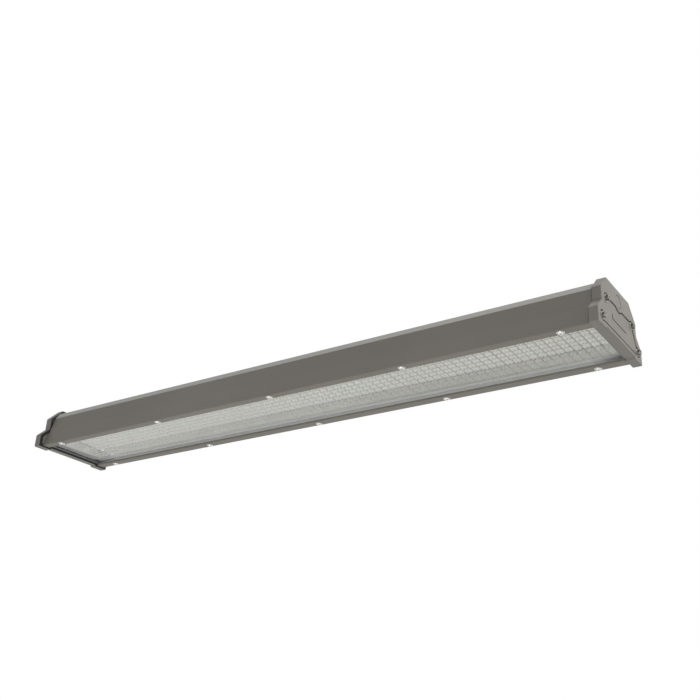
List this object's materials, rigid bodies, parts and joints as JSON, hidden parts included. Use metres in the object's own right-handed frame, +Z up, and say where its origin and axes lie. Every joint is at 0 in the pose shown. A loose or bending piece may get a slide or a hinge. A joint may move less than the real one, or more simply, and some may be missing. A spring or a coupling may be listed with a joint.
{
  "type": "linear led high bay light",
  "caption": "Long sealed ceiling light: finned metal extrusion between cast end caps, glass window below over a field of square-set lenses, screw holes on top to hang it.",
  "frame": {"origin": "under the middle of the light, on the plane of the end caps' feet", "axes": "+X along the light, +Y across it, +Z up from the window to the cooling fins"},
  "size_m": [1.1952, 0.18, 0.089],
  "materials": {
    "housing_paint": "fine-textured warm grey powder coat on extruded aluminium",
    "cap_paint": "fine-textured warm grey powder coat on die-cast aluminium",
    "window_glass": "clear toughened glass with a faint green tint",
    "grey_silicone": "moulded grey silicone",
    "black_silicone": "black silicone sheet, matt",
    "reflector_sheet": "satin anodised reflector sheet",
    "lens_plastic": "clear moulded optical plastic over a white board",
    "white_board": "white solder resist",
    "steel_fastener": "plain stainless steel",
    "driver_case": "mill-finish aluminium case",
    "white_plastic": "moulded white plastic",
    "lead_insulation": "matt lead insulation"
  },
  "bodies": {
    "root": {"board_screws": "steel_fastener", "cover_seal_left": "black_silicone", "cover_seal_right": "black_silicone", "driver_screws": "steel_fastener", "end_cap_left": "cap_paint", "end_cap_right": "cap_paint", "end_reflector_left": "reflector_sheet", "end_reflector_right": "reflector_sheet", "end_screws_left": "steel_fastener", "end_screws_right": "steel_fastener", "end_seal_left": "black_silicone", "end_seal_right": "black_silicone", "end_washers_left": "steel_fastener", "end_washers_right": "steel_fastener", "entry_plug_left": "cap_paint", "entry_plug_right": "cap_paint", "glass_gasket": "grey_silicone", "glass_rail_front": "housing_paint", "glass_rail_rear": "housing_paint", "housing_extrusion": "housing_paint", "led_board_1": "white_board", "led_board_2": "white_board", "led_board_3": "white_board", "led_board_4": "white_board", "led_board_5": "white_board", "led_board_6": "white_board", "led_driver_1": "driver_case", "led_driver_2": "driver_case", "led_loom": "lead_insulation", "lens_module_1": "lens_plastic", "lens_module_2": "lens_plastic", "lens_module_3": "lens_plastic", "lens_module_4": "lens_plastic", "lens_module_5": "lens_plastic", "lens_module_6": "lens_plastic", "mains_loom": "lead_insulation", "rail_screws_front": "steel_fastener", "rail_screws_rear": "steel_fastener", "rail_washers_front": "steel_fastener", "rail_washers_rear": "steel_fastener", "rim_bead_left": "black_silicone", "rim_bead_right": "black_silicone", "side_reflector_front": "reflector_sheet", "side_reflector_rear": "reflector_sheet", "surge_protector": "white_plastic", "terminal_block_left": "white_plastic", "terminal_block_right": "white_plastic", "terminal_cover_left": "cap_paint", "terminal_cover_right": "cap_paint", "window_glass": "window_glass"}
  },
  "joints": []
}
